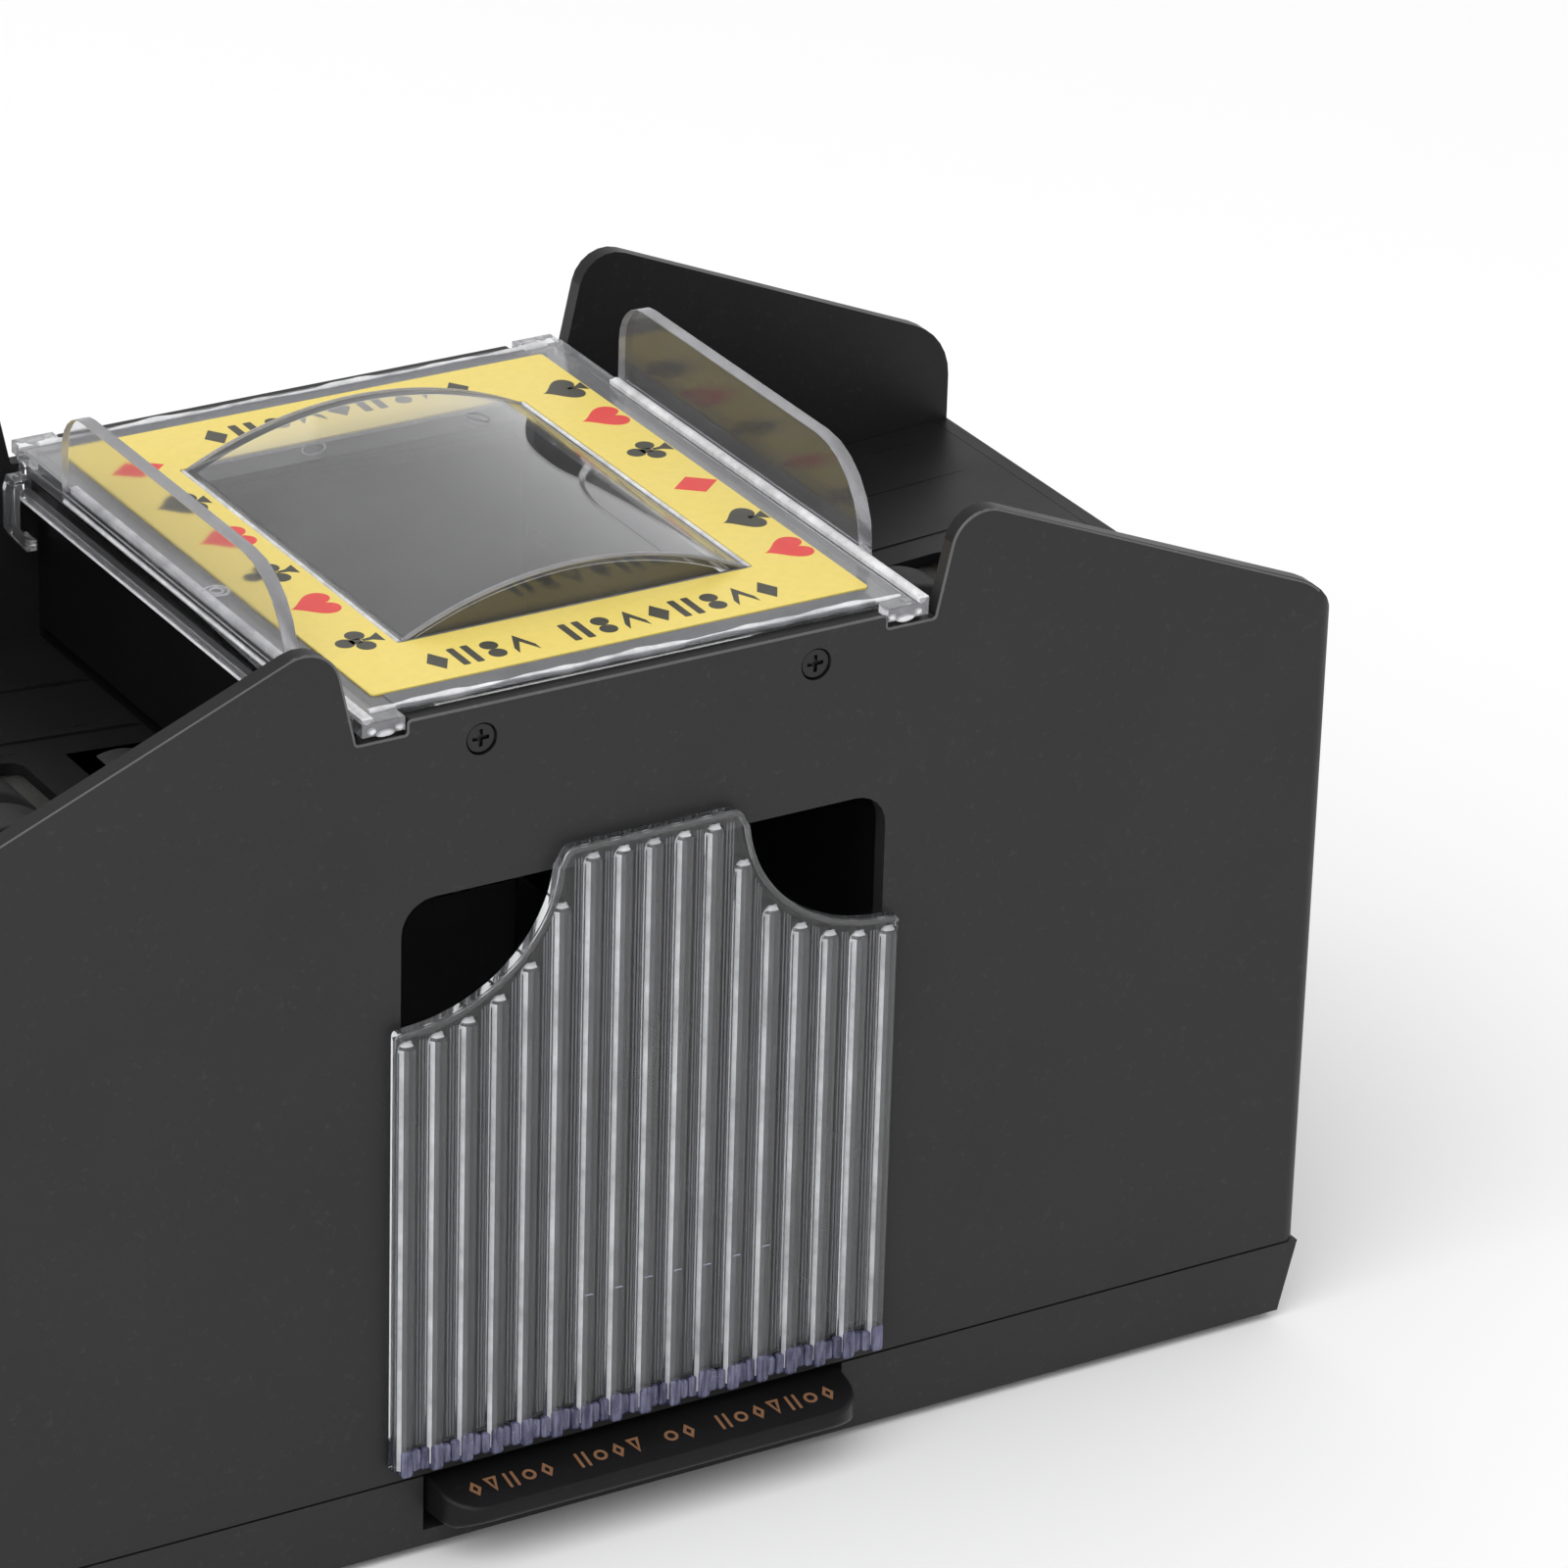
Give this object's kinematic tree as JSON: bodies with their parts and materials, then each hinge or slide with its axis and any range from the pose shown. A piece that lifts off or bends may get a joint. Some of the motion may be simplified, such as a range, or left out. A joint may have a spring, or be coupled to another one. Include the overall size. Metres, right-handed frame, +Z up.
{
  "type": "card shuffler",
  "caption": "Battery card shuffler: black housing with sloped feed trays either side, a ribbed clear drawer in front, a clear vaulted cover with a suit label, and a press bar.",
  "frame": {"origin": "centre of the overall footprint, on the surface it stands on", "axes": "+X towards the right feed tray, -Y towards the drawer and press bar, +Z up"},
  "size_m": [0.204, 0.106, 0.1303],
  "materials": {
    "housing_black": "satin moulded black plastic",
    "inner_black": "matt black plastic",
    "clear_plastic": "clear polystyrene, polished",
    "label_print": "printed card under gloss",
    "gear_plastic": "natural acetal",
    "steel": "plain steel",
    "dark_steel": "blackened steel",
    "brass": "turned brass",
    "tyre_rubber": "ground rubber",
    "foot_rubber": "moulded rubber",
    "cell_jacket": "shrink film",
    "wire_red": "PVC insulation"
  },
  "bodies": {
    "root": {"front_shell": "housing_black", "back_shell": "housing_black", "base_pan": "housing_black", "left_divider": "inner_black", "right_divider": "inner_black", "front_crossbar": "inner_black", "rear_crossbar": "inner_black", "left_feed_tray": "inner_black", "right_feed_tray": "inner_black", "left_gear_bracket": "gear_plastic", "right_gear_bracket": "gear_plastic", "left_motor": "steel", "right_motor": "steel", "left_gear_pins": "steel", "right_gear_pins": "steel", "press_springs": "steel", "switch_body": "inner_black", "battery_cells": "cell_jacket", "battery_contacts": "steel", "battery_springs": "steel", "wiring": "wire_red", "wall_screws": "dark_steel", "base_screws": "dark_steel", "bracket_screws": "steel", "motor_screws": "steel", "rubber_feet": "foot_rubber"},
    "left_feed_roller": {"left_feed_shaft": "gear_plastic", "left_feed_tyres": "tyre_rubber"},
    "left_exit_roller": {"left_exit_shaft": "gear_plastic", "left_exit_tyres": "tyre_rubber"},
    "left_reduction": {"left_reduction_gear": "gear_plastic"},
    "left_idler": {"left_idler_gear": "gear_plastic"},
    "left_rotor": {"left_motor_pinion": "brass"},
    "right_feed_roller": {"right_feed_shaft": "gear_plastic", "right_feed_tyres": "tyre_rubber"},
    "right_exit_roller": {"right_exit_shaft": "gear_plastic", "right_exit_tyres": "tyre_rubber"},
    "right_reduction": {"right_reduction_gear": "gear_plastic"},
    "right_idler": {"right_idler_gear": "gear_plastic"},
    "right_rotor": {"right_motor_pinion": "brass"},
    "card_drawer": {"card_drawer": "clear_plastic"},
    "top_cover": {"top_cover": "clear_plastic", "top_label": "label_print"},
    "press_bar": {"press_bar": "housing_black"},
    "switch_lever": {"switch_lever": "steel"},
    "battery_door": {"battery_door": "housing_black"}
  },
  "joints": [
    {"name": "left_feed_spin", "type": "hinge", "parent": "root", "child": "left_feed_roller", "pos_m": [-0.0685, 0.004, 0.08192], "axis": [0, 1, 0], "continuous": true},
    {"name": "left_exit_spin", "type": "hinge", "parent": "root", "child": "left_exit_roller", "pos_m": [-0.04505, 0.004, 0.08382], "axis": [0, 1, 0], "continuous": true},
    {"name": "left_reduction_spin", "type": "hinge", "parent": "root", "child": "left_reduction", "pos_m": [-0.07058, 0.004, 0.07011], "axis": [0, 1, 0], "continuous": true},
    {"name": "left_idler_spin", "type": "hinge", "parent": "root", "child": "left_idler", "pos_m": [-0.05496, 0.004, 0.08066], "axis": [0, 1, 0], "continuous": true},
    {"name": "left_rotor_spin", "type": "hinge", "parent": "root", "child": "left_rotor", "pos_m": [-0.08206, 0.004, 0.05372], "axis": [0, 1, 0], "continuous": true},
    {"name": "right_feed_spin", "type": "hinge", "parent": "root", "child": "right_feed_roller", "pos_m": [0.0685, 0.004, 0.08192], "axis": [0, 1, 0], "continuous": true},
    {"name": "right_exit_spin", "type": "hinge", "parent": "root", "child": "right_exit_roller", "pos_m": [0.04505, 0.004, 0.08382], "axis": [0, 1, 0], "continuous": true},
    {"name": "right_reduction_spin", "type": "hinge", "parent": "root", "child": "right_reduction", "pos_m": [0.07058, 0.004, 0.07011], "axis": [0, 1, 0], "continuous": true},
    {"name": "right_idler_spin", "type": "hinge", "parent": "root", "child": "right_idler", "pos_m": [0.05496, 0.004, 0.08066], "axis": [0, 1, 0], "continuous": true},
    {"name": "right_rotor_spin", "type": "hinge", "parent": "root", "child": "right_rotor", "pos_m": [0.08206, 0.004, 0.05372], "axis": [0, 1, 0], "continuous": true},
    {"name": "drawer_slide", "type": "slide", "parent": "root", "child": "card_drawer", "axis": [0, -1, 0], "range_m": [0, 0.085]},
    {"name": "cover_lift", "type": "slide", "parent": "root", "child": "top_cover", "axis": [0, 0, 1], "range_m": [0, 0.06]},
    {"name": "press_travel", "type": "slide", "parent": "root", "child": "press_bar", "axis": [0, 0, -1], "range_m": [0, 0.0015], "stiffness_N_per_m": 900, "springref_m": -0.0008, "deforming": ["press_springs"]},
    {"name": "lever_swing", "type": "hinge", "parent": "root", "child": "switch_lever", "pos_m": [-0.006, -0.0378, 0.0078], "axis": [0, 1, 0], "range_deg": [0, 8], "stiffness_Nm_per_rad": 0.0004},
    {"name": "door_slide", "type": "slide", "parent": "root", "child": "battery_door", "axis": [1, 0, 0], "range_m": [0, 0.062]}
  ],
  "couplings": [
    {"joint": "left_reduction_spin", "follows": "left_feed_spin", "ratio": -2},
    {"joint": "left_rotor_spin", "follows": "left_feed_spin", "ratio": 8},
    {"joint": "left_idler_spin", "follows": "left_feed_spin", "ratio": -1.4286},
    {"joint": "left_exit_spin", "follows": "left_feed_spin", "ratio": 1.6667},
    {"joint": "right_reduction_spin", "follows": "right_feed_spin", "ratio": -2},
    {"joint": "right_rotor_spin", "follows": "right_feed_spin", "ratio": 8},
    {"joint": "right_idler_spin", "follows": "right_feed_spin", "ratio": -1.4286},
    {"joint": "right_exit_spin", "follows": "right_feed_spin", "ratio": 1.6667},
    {"joint": "lever_swing", "follows": "press_travel", "rad_per_m": 83.552}
  ]
}
